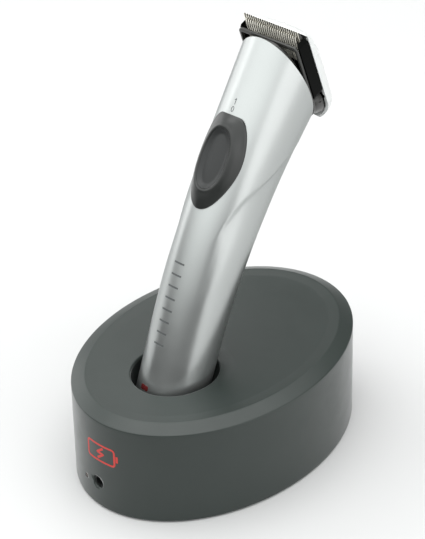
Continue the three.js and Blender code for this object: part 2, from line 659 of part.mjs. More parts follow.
function hingeSlope() {
  const slope = new THREE.Group();
  slope.position.set(0, 2.8, -0.8);
  slope.rotation.x = THREE.MathUtils.degToRad(45);
  return matrixOf(slope);
}

piece(head, 'head_neck', makeNeck(), neckPlastic);

function makeCarrier() {
  const carrierSpan = [CARRIER_BOTTOM, CARRIER_TOP];
  const outer = roundedPlate(HEAD_HALF_WIDTH, carrierSpan, CARRIER_DEPTH, 2.4);
  const bay = block([-BAY_HALF, BAY_HALF], [0, BAY_DEPTH], [CARRIER_BOTTOM + 1.6, 70]);
  const notch = block([-8, 8], [0, BAY_DEPTH], [CARRIER_BOTTOM - 2, CARRIER_BOTTOM + 4]);
  const tongue = roundedPlate(TONGUE_HALF, [TONGUE_FROM, TONGUE_TO], [7.8, 9.2], 3);
  const bridge = block([-12, 12], [BAY_DEPTH + 0.2, 9.2], [CARRIER_BOTTOM + 0.5, TONGUE_TO]);
  return outer.subtract(bay).subtract(notch).add(tongue).add(bridge).subtract(combScrewHoles(5));
}

const COMB_SCREW = { x: 11, z: 40, radius: 1.2 };

function combScrewHoles(fromY) {
  const { x, z, radius } = COMB_SCREW;
  return rodY(radius + GAP, fromY, 12, -x, z).add(rodY(radius + GAP, fromY, 12, x, z));
}

piece(head, 'blade_carrier', makeCarrier(), glossBlack);
piece(head, 'back_cover', makeBackCover(), whitePlastic);

// A blade plate with evenly spaced slots cut down from its tooth edge.
function toothedPlate(halfX, [y0, y1], [z0, rootZ, tipZ], teeth, gapShare) {
  let plate = block([-halfX, halfX], [y0, y1], [z0, tipZ]);
  const pitch = (2 * halfX + TOOTH_PITCH * gapShare) / teeth;
  for (let i = 1; i < teeth; i += 1) {
    const x = -halfX - TOOTH_PITCH * gapShare / 2 + i * pitch;
    const half = TOOTH_PITCH * gapShare / 2;
    plate = plate.subtract(block([x - half, x + half], [y0 - 1, y1 + 1], [rootZ, tipZ + 1]));
  }
  return plate;
}

// Wedge that thins the comb's teeth towards their tips, from behind.
function tipWedge() {
  const slope = new THREE.Group();
  slope.position.set(0, COMB_DEPTH[1], 50.6);
  slope.rotation.x = THREE.MathUtils.degToRad(28);
  return moved(block([-20, 20], [0, 12], [-2, 12]), matrixOf(slope));
}

const COMB_DEPTH = [4.4, 6.4];
const comb = toothedPlate(15.0, COMB_DEPTH, [36, 47.4, 53.8], COMB_TEETH, 0.48)
  .subtract(tipWedge())
  .subtract(combScrewHoles(5.4));
piece(head, 'comb_blade', comb, bladeSteel);
for (const [side, x] of [['left', -COMB_SCREW.x], ['right', COMB_SCREW.x]]) {
  const screw = rodY(COMB_SCREW.radius, 5.8, 8.1, x, COMB_SCREW.z)
    .add(rodY(2.2, 7.9, 9, x, COMB_SCREW.z));
  piece(head, `comb_screw_${side}`, screw, screwSteel);
}

const CUTTER_DEPTH = [3.2, 4.1];
const followerPocket = block([-6.3, 6.3], [0, 10], [37.2, 41]);
const cutter = toothedPlate(13.9, CUTTER_DEPTH, [38, 46.2, 51.6], CUTTER_TEETH, 0.44)
  .subtract(followerPocket);
piece(head, 'cutter_blade', cutter, bladeSteel);

const slotHalf = CRANK_PIN_RADIUS + CRANK_THROW + GAP;
const follower = roundedPlate(6, [18.5, 40.7], [2.4, 4.1], 2)
  .subtract(block([-slotHalf, slotHalf], [0, 8], [19.6, 29]));
piece(head, 'cutter_follower', follower, whitePlastic);

// Wire spring that presses the cutter against the comb.
const springPath = new THREE.CatmullRomCurve3([
  new THREE.Vector3(-9, 3.0, 21),
  new THREE.Vector3(-9.4, 2.7, 30),
  new THREE.Vector3(-9.6, 2.6, 43),
  new THREE.Vector3(-7, 2.55, 45.6),
  new THREE.Vector3(0, 2.55, 46.3),
  new THREE.Vector3(7, 2.55, 45.6),
  new THREE.Vector3(9.6, 2.6, 43),
  new THREE.Vector3(9.4, 2.7, 30),
  new THREE.Vector3(9, 3.0, 21),
]);
const wire = new THREE.Shape();
wire.absarc(0, 0, 0.28, 0, 2 * Math.PI);
const spring = new THREE.ExtrudeGeometry(wire, {
  extrudePath: springPath, steps: 28, bevelEnabled: false, curveSegments: 3,
});
piece(head, 'tension_spring', solidOf(spring), screwSteel);

export default group;
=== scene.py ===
"""The looks of a cordless hair trimmer standing in its oval charging stand.

Sizes are written in millimetres in the CAD model's own frame and turned into metres
when a mesh is made. The front, with the charging jack and the switch, faces -Y.
"""

import json
import math

import bmesh
import bpy
from mathutils import Matrix, Vector


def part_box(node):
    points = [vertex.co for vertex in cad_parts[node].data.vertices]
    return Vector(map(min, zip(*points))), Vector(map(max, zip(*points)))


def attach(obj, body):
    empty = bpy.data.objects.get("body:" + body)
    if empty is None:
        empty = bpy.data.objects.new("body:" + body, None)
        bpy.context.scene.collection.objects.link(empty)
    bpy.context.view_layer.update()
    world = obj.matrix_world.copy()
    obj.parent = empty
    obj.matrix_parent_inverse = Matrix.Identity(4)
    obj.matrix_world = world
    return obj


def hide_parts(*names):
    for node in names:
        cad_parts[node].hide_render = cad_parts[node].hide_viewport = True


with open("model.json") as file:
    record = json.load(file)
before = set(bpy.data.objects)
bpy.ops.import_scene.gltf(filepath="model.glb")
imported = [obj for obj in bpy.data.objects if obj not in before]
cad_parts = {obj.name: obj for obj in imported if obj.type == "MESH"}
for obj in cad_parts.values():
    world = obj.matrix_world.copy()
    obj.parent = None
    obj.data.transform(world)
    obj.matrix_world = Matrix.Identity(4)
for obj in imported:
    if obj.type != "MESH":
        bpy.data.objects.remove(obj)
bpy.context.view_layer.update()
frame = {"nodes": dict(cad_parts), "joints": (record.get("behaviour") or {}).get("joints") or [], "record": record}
NODES = frame["nodes"]
JOINTS = {joint["name"]: joint for joint in frame["joints"]}
MM = 0.001
RIGHT = Vector((1, 0, 0))


def node_box(node):
    """Low and high corner of a CAD node, in millimetres."""
    return [Vector(corner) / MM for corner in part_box(node)]


def turn(count):
    """Angles of count equal steps round a full turn."""
    return [2 * math.pi * k / count for k in range(count)]


# ------------------------------------------------------------- driving sizes, mm

STAND_LOW, STAND_HIGH = node_box("stand_housing")
HALF_LENGTH = STAND_HIGH.y
HALF_WIDTH = STAND_HIGH.x
CREST_Z = STAND_HIGH.z
WALL_BOTTOM_Z = STAND_LOW.z
RIM_Z = CREST_Z - 2.6
DECK_Z = CREST_Z - 0.6
CHAMFER_WIDTH = 6.2
EDGE_RADIUS = 0.45
STAND_WALL = 2.5
WALL_ROW = 1.5

MOUTH_Y = -25.3
MOUTH_HALF_X = 18.1
MOUTH_HALF_Y = 20.4
MOUTH_ROUNDING = 0.7
MOUTH_HOLLOW = 7.0
MOUTH_DIP = 1.3
WELL_TOP_Z = CREST_Z - 2.7
WELL_HALF_X = 16.6
WELL_HALF_Y = 16.9
WELL_FLOOR = 2.2
WELL_WALL = 1.6
WELL_FLARE = 3.0
WELL_OUTER_FLARE = 2.6

SOCKET_LEAN = math.atan2(*JOINTS["trimmer_lift"]["axis"][1:])
ALONG_SOCKET = Vector((0, math.sin(SOCKET_LEAN), math.cos(SOCKET_LEAN)))
SOCKET_FRONT = Vector((0, -math.cos(SOCKET_LEAN), math.sin(SOCKET_LEAN)))
SPINE_START_Y = -35.5
SPINE_START_Z = 19.4
SPINE_BEND = math.radians(17)
BEND_FROM = 27
BEND_TO = 157
SPINE_END = 205
SLEEVE_START = 6
SLEEVE_WALL = 1.6
FLARE_LENGTH = 180
LOW_HALF_WIDTH = 15.4
WIDTH_GAIN = 3.4
WIDTH_POWER = 2.2
LOW_HALF_DEPTH = 15.6
DEPTH_GAIN = 8.2
CREASE_DEPTH = 0.8

HEAD_ORIGIN = Vector((0, 54, 135.3))
HEAD_LEAN = math.radians(20)
CUT_LEAN = math.radians(22.6)
HEAD_HALF_WIDTH = 16
LIP_TOP = 48.9
CARRIER_BOTTOM = 17
CARRIER_TOP = 49.6
CARRIER_BACK_TOP = 47.9
BAY_HALF_WIDTH = 15.1
COVER_BOTTOM = -2.2
COVER_TOP = 49
COVER_BASE = 7.9
COVER_BULGE = 9.2
COVER_WALL = 1.4
COMB_TEETH = 25
CUTTER_TEETH = 23
TOOTH_PITCH = 1.2

SWITCH_MIDDLE = 121.0
EGG = {"half_width": 11.2, "top": 19.0, "bottom": -20.4, "flat": 5.0}
PAD = {"half_width": 6.3, "top": 12.7, "bottom": -12.1, "squareness": 0.86}

# -------------------------------------------------------------------- mesh tools


def new_object(name, bm, smooth_angle=40):
    """A mesh object made from a bmesh in millimetres, shaded smooth up to an angle."""
    bmesh.ops.recalc_face_normals(bm, faces=bm.faces)
    mesh = bpy.data.meshes.new(name)
    bm.to_mesh(mesh)
    bm.free()
    mesh.transform(Matrix.Scale(MM, 4))
    mesh.shade_smooth()
    mesh.set_sharp_from_angle(angle=math.radians(smooth_angle))
    made = bpy.data.objects.new(name, mesh)
    bpy.context.scene.collection.objects.link(made)
    return made


def add_rows(bm, rows, closed_stack=False, cap_first=False, cap_last=False):
    """Joins rows of points into quads. Rows close on themselves, and the stack may too."""
    grid = [[bm.verts.new(point) for point in row] for row in rows]
    count = len(grid[0])
    stacks = list(zip(grid, grid[1:]))
    if closed_stack:
        stacks.append((grid[-1], grid[0]))
    for low, high in stacks:
        for i in range(count):
            j = (i + 1) % count
            bm.faces.new((low[i], low[j], high[j], high[i]))
    for row, wanted in ((grid[0], cap_first), (grid[-1], cap_last)):
        if wanted:
            cap(bm, row)


def cap(bm, row):
    """Closes a row with a fan of triangles round its middle."""
    middle = bm.verts.new(sum((v.co for v in row), Vector()) / len(row))
    for i, vert in enumerate(row):
        bm.faces.new((vert, row[(i + 1) % len(row)], middle))


def rows_object(name, rows, smooth_angle=40, **options):
    """A mesh object made of one stack of rows."""
    bm = bmesh.new()
    add_rows(bm, rows, **options)
    return new_object(name, bm, smooth_angle)


def rounded_box_rows(half_x, z_range, corner, count=10, low_corner=None):
    """Corner-rounded rectangle as (x, z) points, anticlockwise from the upper right."""
    z0, z1 = z_range
    low = corner if low_corner is None else low_corner
    corners = ((half_x - corner, z1 - corner, 0, corner), (-half_x + corner, z1 - corner, 90, corner),
               (-half_x + low, z0 + low, 180, low), (half_x - low, z0 + low, 270, low))
    points = []
    for x, z, start, radius in corners:
        for i in range(count + 1):
            angle = math.radians(start + 90 * i / count)
            points.append((x + radius * math.cos(angle), z + radius * math.sin(angle)))
    return points


def cut(target, cutters):
    """Cuts closed mesh objects out of a target, then removes them."""
    for cutter in cutters:
        modifier = target.modifiers.new("cut", "BOOLEAN")
        modifier.object = cutter
        modifier.solver = "EXACT"
    bpy.context.view_layer.update()
    evaluated = target.evaluated_get(bpy.context.evaluated_depsgraph_get())
    mesh = bpy.data.meshes.new_from_object(evaluated)
    target.modifiers.clear()
    target.data = mesh
    for cutter in cutters:
        bpy.data.objects.remove(cutter)


def tube_rows(radius, y0, y1, x, z, count=48):
    """Rows of a rod along Y."""
    return [[Vector((x + radius * math.cos(a), y, z + radius * math.sin(a))) for a in turn(count)]
            for y in (y0, y1)]


def contact_holes(prefix, radius, reach, count):
    """Closed rods along the socket's axis, through the left and the right contact."""
    holes = []
    for side in ("left", "right"):
        low, high = node_box(prefix + side)
        middle = (low + high) / 2
        rows = []
        for distance in reach:
            rows.append([middle + ALONG_SOCKET * distance + RIGHT * radius * math.cos(a)
                         + SOCKET_FRONT * radius * math.sin(a) for a in turn(count)])
        holes.append(rows_object("hole_cutter", rows, cap_first=True, cap_last=True))
    return holes


def bevel(made, width, angle):
    """Rounds the edges that are sharper than an angle, by a width in millimetres."""
    modifier = made.modifiers.new("edges", "BEVEL")
    modifier.width = width * MM
    modifier.segments = 3
    modifier.limit_method = "ANGLE"
    modifier.angle_limit = math.radians(angle)
    modifier.harden_normals = True


# --------------------------------------------------------------------- materials

# Nearly all values of a noise texture lie in this range.
NOISE_RANGE = (0.3, 0.7)
# Grey of the plain backdrop that only the camera sees.
BACKDROP = 0.93


def map_range(tree, value, source, result, smooth=False):
    """Value stretched so that the source range becomes the result range."""
    node = tree.nodes.new("ShaderNodeMapRange")
    if smooth:
        node.interpolation_type = "SMOOTHSTEP"
    for key, number in zip(("From Min", "From Max", "To Min", "To Max"), (*source, *result)):
        node.inputs[key].default_value = number
    tree.links.new(value, node.inputs["Value"])
    return node.outputs["Result"]


def maths(tree, operation, *values):
    """Result of a maths node on one or two values."""
    node = tree.nodes.new("ShaderNodeMath")
    node.operation = operation
    for socket, value in zip(node.inputs, values):
        tree.links.new(value, socket)
    return node.outputs["Value"]


def axes_of(tree, coordinates):
    """The X, Y and Z outputs of one kind of texture coordinates."""
    node = tree.nodes.new("ShaderNodeSeparateXYZ")
    tree.links.new(tree.nodes.new("ShaderNodeTexCoord").outputs[coordinates], node.inputs["Vector"])
    return node.outputs


def show_instead(tree, kind, share, usual, output):
    """What the camera sees fades with share from the usual surface to the plain backdrop."""
    plain = tree.nodes.new(kind)
    plain.inputs["Color"].default_value = (BACKDROP, BACKDROP, BACKDROP, 1)
    mix = tree.nodes.new("ShaderNodeMixShader")
    for socket, value in zip(mix.inputs, (share, usual, plain.outputs[0])):
        tree.links.new(value, socket)
    tree.links.new(mix.outputs["Shader"], tree.nodes[output].inputs["Surface"])


class Shader:
    """A Principled material with helpers for the procedural nodes that feed it."""

    def __init__(self, name, colour, roughness, metallic=0.0, **constants):
        self.material = bpy.data.materials.new(name)
        self.material.use_nodes = True
        self.tree = self.material.node_tree
        self.shader = self.tree.nodes["Principled BSDF"]
        self.shader.inputs["Base Color"].default_value = (*colour, 1)
        self.shader.inputs["Roughness"].default_value = roughness
        self.shader.inputs["Metallic"].default_value = metallic
        for key, value in constants.items():
            self.shader.inputs[key.replace("_", " ")].default_value = value
        self.colour = colour
        self.roughness = roughness
        coordinates = self.tree.nodes.new("ShaderNodeTexCoord")
        self.place = coordinates.outputs["Object"]
        self.height = None

    def noise(self, size, detail=3.0, stretch=(1, 1, 1), roughness=0.55):
        """Noise whose lumps are about size millimetres across, from 0 to 1."""
        mapping = self.tree.nodes.new("ShaderNodeMapping")
        mapping.inputs["Scale"].default_value = [1 / (size * MM * s) for s in stretch]
        self.tree.links.new(self.place, mapping.inputs["Vector"])
        node = self.tree.nodes.new("ShaderNodeTexNoise")
        node.inputs["Scale"].default_value = 1.0
        node.inputs["Detail"].default_value = detail
        node.inputs["Roughness"].default_value = roughness
        self.tree.links.new(mapping.outputs["Vector"], node.inputs["Vector"])
        return node.outputs["Fac"]

    def scale_colour(self, factor):
        """Makes the base colour lighter and darker with a factor."""
        node = self.tree.nodes.new("ShaderNodeVectorMath")
        node.operation = "SCALE"
        node.inputs[0].default_value = self.colour
        self.tree.links.new(factor, node.inputs["Scale"])
        self.tree.links.new(node.outputs["Vector"], self.shader.inputs["Base Color"])

    def vary_colour(self, noise, strength):
        """Lightens and darkens the base colour by a share of itself."""
        self.scale_colour(map_range(self.tree, noise, NOISE_RANGE, (1 - strength, 1 + strength)))

    def vary_roughness(self, noise, strength):
        """Raises and lowers the roughness by a strength."""
        limits = (self.roughness - strength, self.roughness + strength)
        result = map_range(self.tree, noise, NOISE_RANGE, limits)
        self.tree.links.new(result, self.shader.inputs["Roughness"])

    def bump(self, value, height):
        """Adds relief of about height millimetres on top of what is there already."""
        node = self.tree.nodes.new("ShaderNodeBump")
        node.inputs["Strength"].default_value = 1.0
        node.inputs["Distance"].default_value = height * MM
        self.tree.links.new(value, node.inputs["Height"])
        if self.height is not None:
            self.tree.links.new(self.height, node.inputs["Normal"])
        self.height = node.outputs["Normal"]
        self.tree.links.new(self.height, self.shader.inputs["Normal"])


def srgb(red, green, blue):
    """Linear colour from 0-255 display values."""
    result = []
    for value in (red, green, blue):
        value /= 255
        result.append(value / 12.92 if value <= 0.04045 else ((value + 0.055) / 1.055) ** 2.4)
    return tuple(result)


def moulded(name, colour, roughness, grain=0.35, relief=0.004, **constants):
    """Moulded plastic: fine spark-eroded grain, slow changes of tone and gloss."""
    made = Shader(name, colour, roughness, **constants)
    made.vary_colour(made.noise(14, 2), 0.035)
    made.vary_roughness(made.noise(9, 4), 0.035)
    made.bump(made.noise(grain, 4), relief)
    made.bump(made.noise(30, 1), 0.02)
    return made.material


def ground_metal(name, colour, roughness):
    """Bare metal with a fine ground grain."""
    made = Shader(name, colour, roughness, 1.0)
    grain = made.noise(0.12, 3)
    made.vary_colour(grain, 0.06)
    made.vary_roughness(grain, 0.06)
    made.bump(grain, 0.002)
    return made.material


def blade_steel():
    """Ground steel with bright faces; the flanks between the teeth get painted shade, darker the more they face
    sideways.
    """
    made = Shader("ground_steel", srgb(244, 240, 228), 0.36, metallic=0.35)
    flank_shade_mask = maths(made.tree, "ABSOLUTE", axes_of(made.tree, "Normal")["X"])
    # Painted shade: the base colour falls to a twentieth on faces that point along X, so the gaps between the
    # teeth look dark.
    made.scale_colour(map_range(made.tree, flank_shade_mask, (0.4, 0.8), (1.0, 0.05)))
    lines = made.noise(0.12, 3, (1, 1, 12))
    made.vary_roughness(lines, 0.06)
    made.bump(lines, 0.002)
    return made.material


def silver_lacquer():
    """Satin silver paint: fine flakes under a thin clear coat."""
    made = Shader("silver_lacquer", srgb(180, 183, 182), 0.3, metallic=0.9,
                  Specular_Tint=(0.55, 0.56, 0.56, 1), Coat_Weight=0.1, Coat_Roughness=0.25)
    flakes = made.noise(0.16, 2)
    made.vary_colour(flakes, 0.035)
    made.vary_roughness(made.noise(11, 3), 0.02)
    made.bump(flakes, 0.0012)
    made.bump(made.noise(22, 1), 0.012)
    return made.material


def lens(name, colour):
    """Tinted glossy window; its lamp is off."""
    made = Shader(name, colour, 0.16, Coat_Weight=0.6, Coat_Roughness=0.06)
    made.vary_colour(made.noise(0.8, 2), 0.08)
    made.bump(made.noise(0.5, 2), 0.004)
    return made.material


def circuit_board():
    """Green board with slightly uneven solder resist."""
    made = Shader("board_laminate", srgb(34, 96, 62), 0.45, Coat_Weight=0.3)
    made.vary_colour(made.noise(1.4, 5, roughness=0.75), 0.25)
    made.bump(made.noise(1.1, 3), 0.03)
    return made.material


def cell_wrap():
    """Shrunk-on film round the cell, with small waves."""
    made = Shader("cell_wrap_film", srgb(58, 120, 92), 0.28, Coat_Weight=0.5)
    made.vary_colour(made.noise(6, 3), 0.06)
    made.bump(made.noise(2.5, 3), 0.03)
    return made.material


SLOT_MATERIALS = {
    "slate_plastic": moulded("slate_moulding", srgb(34, 42, 39), 0.38, Sheen_Weight=0.3,
                             Sheen_Roughness=0.35),
    "cover_plastic": moulded("cover_moulding", srgb(56, 60, 59), 0.6),
    "foot_rubber": moulded("rubber_moulding", srgb(34, 35, 35), 0.85, 0.6, 0.02),
    "screw_steel": ground_metal("zinc_plate", srgb(186, 186, 182), 0.32),
    "black_plastic": moulded("black_moulding", srgb(26, 27, 27), 0.38),
    "gloss_black": moulded("gloss_black_moulding", srgb(12, 13, 12), 0.16, 0.5, 0.0006,
                           Specular_IOR_Level=0.02),
    "contact_brass": ground_metal("turned_brass", srgb(205, 170, 98), 0.22),
    "contact_nickel": ground_metal("nickel_plate", srgb(190, 188, 180), 0.26),
    "board_green": circuit_board(),
    "ballast_steel": ground_metal("mill_steel", srgb(120, 122, 124), 0.45),
    "amber_lens": lens("amber_lens_glass", srgb(66, 52, 44)),
    "red_lens": lens("red_lens_glass", srgb(84, 30, 30)),
    "silver_paint": silver_lacquer(),
    "chassis_plastic": moulded("chassis_moulding", srgb(60, 62, 63), 0.55),
    "cell_wrap": cell_wrap(),
    "switch_plastic": moulded("switch_moulding", srgb(30, 32, 31), 0.32, 0.3, 0.003),
    "pad_rubber": moulded("pad_soft_touch", srgb(31, 33, 33), 0.5, 0.28, 0.006),
    "neck_plastic": moulded("neck_moulding", srgb(44, 44, 42), 0.3),
    "white_plastic": moulded("white_moulding", srgb(216, 218, 217), 0.27, 0.4, 0.001,
                             Coat_Weight=0.4, Coat_Roughness=0.1),
    "blade_steel": blade_steel(),
}
MARK_INK = moulded("mark_ink", srgb(72, 75, 76), 0.5, 0.3, 0.002)
RED_INK = moulded("red_ink", srgb(186, 48, 40), 0.45, 0.3, 0.002)


def dress(made, slot_name, body, *replaced):
    """Finish, body and the CAD nodes that a new piece stands for."""
    made.data.materials.clear()
    made.data.materials.append(SLOT_MATERIALS[slot_name])
    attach(made, body)
    if replaced:
        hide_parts(*replaced)


def finish_cad_nodes():
    """Every CAD node that stays gets its slot's procedural material."""
    slots = {row["node"]: row["material_slot"] for row in frame["record"]["subparts"]}
    for name, node in NODES.items():
        node.data.materials.clear()
        node.data.materials.append(SLOT_MATERIALS[slots[name]])


# --------------------------------------------------------------- charging stand

AROUND = 192


def stand_loop(inset, z):
    """Loop of the stand's oval, set in by inset, at height z."""
    return [Vector(((HALF_WIDTH - inset) * math.sin(a), -(HALF_LENGTH - inset) * math.cos(a), z))
            for a in turn(AROUND)]


def mouth_loop(grow, z, dip=0.0):
    """Loop round the socket's mouth; dip lowers it towards the back."""
    row = []
    for a in turn(AROUND):
        lowered = dip * smooth_step(-0.4, 0.9, -math.cos(a))
        row.append(Vector(((MOUTH_HALF_X + grow) * math.sin(a),
                           MOUTH_Y - (MOUTH_HALF_Y + grow) * math.cos(a), z - lowered)))
    return row


def between(low, high, steps):
    """Rows evenly between two loops, both left out."""
    return [[a.lerp(b, k / steps) for a, b in zip(low, high)] for k in range(1, steps)]


def fillet(points, radius, steps=5):
    """Rounds the inner corners of an (inset, z) profile."""
    result = [points[0]]
    for before, corner, after in zip(points, points[1:], points[2:]):
        corner = Vector(corner)
        to_before = (Vector(before) - corner).normalized()
        to_after = (Vector(after) - corner).normalized()
        start = corner + to_before * radius
        end = corner + to_after * radius
        for k in range(steps + 1):
            t = k / steps
            result.append(start * (1 - t) ** 2 + corner * 2 * t * (1 - t) + end * t ** 2)
    result.append(points[-1])
    return result


def make_stand():
    """Hollow shell: wall, chamfer, deck, the hollowed mouth of the socket and the inside."""
    inner = STAND_WALL
    outside = fillet([(inner, WALL_BOTTOM_Z), (0, WALL_BOTTOM_Z), (0, RIM_Z),
                      (CHAMFER_WIDTH, CREST_Z), (CHAMFER_WIDTH + 5, DECK_Z + 0.1),
                      (CHAMFER_WIDTH + 11, DECK_Z)], EDGE_RADIUS)
    rows = [stand_loop(*outside[0])]
    for before, after in zip(outside, outside[1:]):
        steps = max(int(abs(after[1] - before[1]) / WALL_ROW), 1)
        rows += between(stand_loop(*before), stand_loop(*after), steps)
        rows.append(stand_loop(*after))
    hollow_start = mouth_loop(MOUTH_HOLLOW, DECK_Z)
    rows += between(rows[-1], hollow_start, 9)
    steps = 12
    for k in range(steps + 1):
        share = k / steps
        grow = MOUTH_HOLLOW + (MOUTH_ROUNDING - MOUTH_HOLLOW) * share
        rows.append(mouth_loop(grow, DECK_Z, MOUTH_DIP * share ** 2))
    steps = 6
    for k in range(1, steps + 1):
        angle = math.pi / 2 * k / steps
        grow = MOUTH_ROUNDING * (1 - math.sin(angle))
        rows.append(mouth_loop(grow, DECK_Z - MOUTH_ROUNDING * (1 - math.cos(angle)), MOUTH_DIP))
    collar = 3.0
    collar_z = WELL_TOP_Z + 0.3
    rows += [mouth_loop(0.0, collar_z), mouth_loop(collar, collar_z)]
    under = stand_loop(inner + 4, DECK_Z - STAND_WALL - 0.6)
    rows += between(rows[-1], under, 5)
    rows.append(under)
    rows.append(stand_loop(inner, RIM_Z - STAND_WALL))
    stand = rows_object("stand_shell", rows, 50, closed_stack=True)

    holes = []
    for node, grow in (("dc_jack_pin", 2.5), ("status_light", -0.65)):
        low, high = node_box(node)
        middle = (low + high) / 2
        radius = (high.z - low.z) / 2 + grow
        rows = tube_rows(radius, -HALF_LENGTH - 4, -HALF_LENGTH + 9, middle.x, middle.z)
        holes.append(rows_object("hole_cutter", rows, cap_first=True, cap_last=True))
    cut(stand, holes)
    dress(stand, "slate_plastic", "stand", "stand_housing")


def make_well():
    """Cup round the handle's foot: its wall follows the socket's axis up to the deck."""
    foot = Vector((0, SPINE_START_Y, SPINE_START_Z))

    def row(distance, share, grow):
        """Loop at a distance up the axis and then a share of the way from there to the top."""
        points = []
        for a in turn(AROUND):
            point = foot + ALONG_SOCKET * distance
            point += RIGHT * (WELL_HALF_X + grow) * math.sin(a)
            point += SOCKET_FRONT * (WELL_HALF_Y + grow) * math.cos(a)
            climb = (WELL_TOP_Z - point.z) / ALONG_SOCKET.z
            points.append(point + ALONG_SOCKET * climb * share)
        return points

    floor = -0.3
    under = floor - WELL_FLOOR
    steps = 8
    climbs = [k / steps for k in range(steps + 1)]
    rows = [row(under, 0, WELL_WALL - 0.6), row(under, 0.03, WELL_WALL)]
    rows += [row(under, 0.1 + 0.9 * part, WELL_WALL + WELL_OUTER_FLARE * part) for part in climbs]
    rows += [row(floor, 1 - 0.94 * part, WELL_FLARE * (1 - part)) for part in climbs]
    rows += [row(floor, 0.01, -0.5), row(floor, 0, -1.2)]
    well = rows_object("socket_cup", rows, 40, cap_first=True, cap_last=True)
    cut(well, contact_holes("contact_pin_", 1.3, (-12.0, 12.0), 32))
    dress(well, "slate_plastic", "stand", "socket_well")


# ------------------------------------------------------------- the handle's form


def smooth_step(low, high, value):
    """Rises smoothly from 0 at low to 1 at high."""
    part = min(max((value - low) / (high - low), 0.0), 1.0)
    return part * part * (3 - 2 * part)


def lean_at(s):
    """How far the spine leans back from upright at a distance s along it."""
    return SOCKET_LEAN + SPINE_BEND * smooth_step(BEND_FROM, BEND_TO, s)


def make_spine():
    """Spine points at every half millimetre, added up from its start."""
    step = 0.5
    y, z = SPINE_START_Y, SPINE_START_Z
    points = []
    for i in range(int(SPINE_END / step) + 1):
        points.append((y, z))
        lean = lean_at((i + 0.5) * step)
        y += math.sin(lean) * step
        z += math.cos(lean) * step
    return step, points


SPINE_STEP, SPINE = make_spine()


def spine_at(s):
    """Place (y, z) on the spine; before its start it carries on along the first step."""
    place = min(max(s / SPINE_STEP, -20), len(SPINE) - 1.001)
    index = max(int(place), 0)
    part = place - index
    (y0, z0), (y1, z1) = SPINE[index], SPINE[index + 1]
    return y0 + (y1 - y0) * part, z0 + (z1 - z0) * part


def half_width_at(s):
    """The handle widens towards the head."""
    return LOW_HALF_WIDTH + WIDTH_GAIN * (max(s, 0) / FLARE_LENGTH) ** WIDTH_POWER


def half_depth_at(s):
    """The handle deepens towards the head."""
    return LOW_HALF_DEPTH + DEPTH_GAIN * (max(s, 0) / FLARE_LENGTH) ** 2


def on_handle(s, angle, offset=0.0):
    """Point on the handle: angle 0 is its front, 90 degrees its +X side."""
    y, z = spine_at(s)
    lean = lean_at(s)
    across = (half_width_at(s) + offset) * math.sin(angle)
    front = (half_depth_at(s) + offset) * math.cos(angle)
    return Vector((across, y - math.cos(lean) * front, z + math.sin(lean) * front))


def over_handle(x, s, height):
    """Point above the handle's front at a lateral distance x, height above the paint."""
    sine = max(min(x / (half_width_at(s) + height), 0.999), -0.999)
    return on_handle(s, math.asin(sine), height)


CUT_NORMAL = Vector((0, math.cos(CUT_LEAN), math.sin(CUT_LEAN)))


def cut_at(angle, offset):
    """Distance along the spine where the slanting end cut meets the handle."""
    low, high = 90.0, 200.0
    for _ in range(30):
        middle = (low + high) / 2
        if (on_handle(middle, angle, offset) - HEAD_ORIGIN).dot(CUT_NORMAL) > 0:
            high = middle
        else:
            low = middle
    return low


# Styling line that runs round each flank of the handle, as (s, degrees from the front).
CREASE = ((86, 34), (93, 41), (103, 51), (110, 61), (116, 74), (122, 87), (129, 101), (137, 118),
          (146, 140))


def crease_height(s, angle):
    """The flank below the styling line lies slightly lower than the rest."""
    degrees = abs(math.degrees(math.atan2(math.sin(angle), math.cos(angle))))
    if degrees <= CREASE[0][1] or degrees >= CREASE[-1][1]:
        return 0.0
    for (s0, a0), (s1, a1) in zip(CREASE, CREASE[1:]):
        if a0 <= degrees <= a1:
            line = s0 + (s1 - s0) * (degrees - a0) / (a1 - a0)
            break
    fade = smooth_step(CREASE[0][1], 62, degrees) * smooth_step(CREASE[-1][1], 118, degrees)
    below = line - s
    lowered = smooth_step(-0.2, 1.1, below) * (1 - smooth_step(2, 38, below))
    return -CREASE_DEPTH * fade * lowered


def make_sleeve():
    """Silver tube along the spine, cut off at a slant at the head, with rounded rims."""
    angles = turn(144)
    rounding = 0.35
    easing = 0.3
    ends = {}
    for offset in (0.0, -rounding, -SLEEVE_WALL + easing, -SLEEVE_WALL):
        ends[offset] = [cut_at(angle, offset) for angle in angles]
    rows = []

    def row(offset, place):
        points = []
        for angle, end in zip(angles, ends[offset]):
            s = place(end)
            styling = crease_height(s, angle) if offset == 0.0 else 0.0
            points.append(on_handle(s, angle, offset + styling))
        rows.append(points)

    row(-rounding, lambda end: SLEEVE_START)
    count = 150
    start = SLEEVE_START + easing
    for k in range(count + 1):
        share = k / count
        row(0.0, lambda end: start + (end - rounding - start) * share)
    row(-rounding, lambda end: end)
    row(-SLEEVE_WALL + easing, lambda end: end)
    inner_count = 24
    for k in range(inner_count + 1):
        share = 1 - k / inner_count
        row(-SLEEVE_WALL, lambda end: SLEEVE_START + (end - easing - SLEEVE_START) * share)
    sleeve = rows_object("silver_sleeve", rows, 35, closed_stack=True)
    dress(sleeve, "silver_paint", "trimmer", "outer_sleeve")


